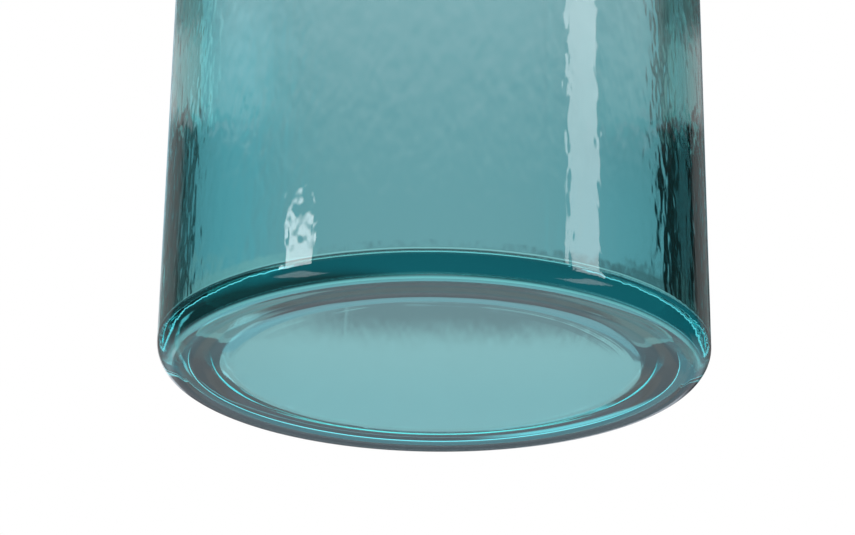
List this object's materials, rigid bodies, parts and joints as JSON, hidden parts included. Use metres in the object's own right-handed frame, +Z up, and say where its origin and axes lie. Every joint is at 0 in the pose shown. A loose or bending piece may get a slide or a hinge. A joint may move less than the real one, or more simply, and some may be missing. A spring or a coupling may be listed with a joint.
{
  "type": "decorative glass bottle",
  "caption": "Cylindrical tinted glass bottle with a ringed base, thick heel, round shoulder and narrow lipped neck, closed by a wood-capped cork that pulls out.",
  "frame": {"origin": "middle of the ring that the bottle stands on, at table height", "axes": "+Z up along the bottle's axis, through the base, neck and stopper; +X and +Y are alike"},
  "size_m": [0.15, 0.15, 0.3274],
  "materials": {
    "tinted_glass": "clear teal glass, glossy, with slight ripples",
    "cork": "pressed cork granules, matt",
    "turned_wood": "turned and oiled, satin",
    "dowel_wood": "plain planed beech"
  },
  "bodies": {
    "bottle": {"glass_bottle": "tinted_glass"},
    "stopper": {"cork_plug": "cork", "wooden_cap": "turned_wood", "stopper_dowel": "dowel_wood"}
  },
  "joints": [
    {"name": "stopper_lift", "type": "slide", "parent": "bottle", "child": "stopper", "axis": [0, 0, 1], "range_m": [0, 0.06]}
  ]
}
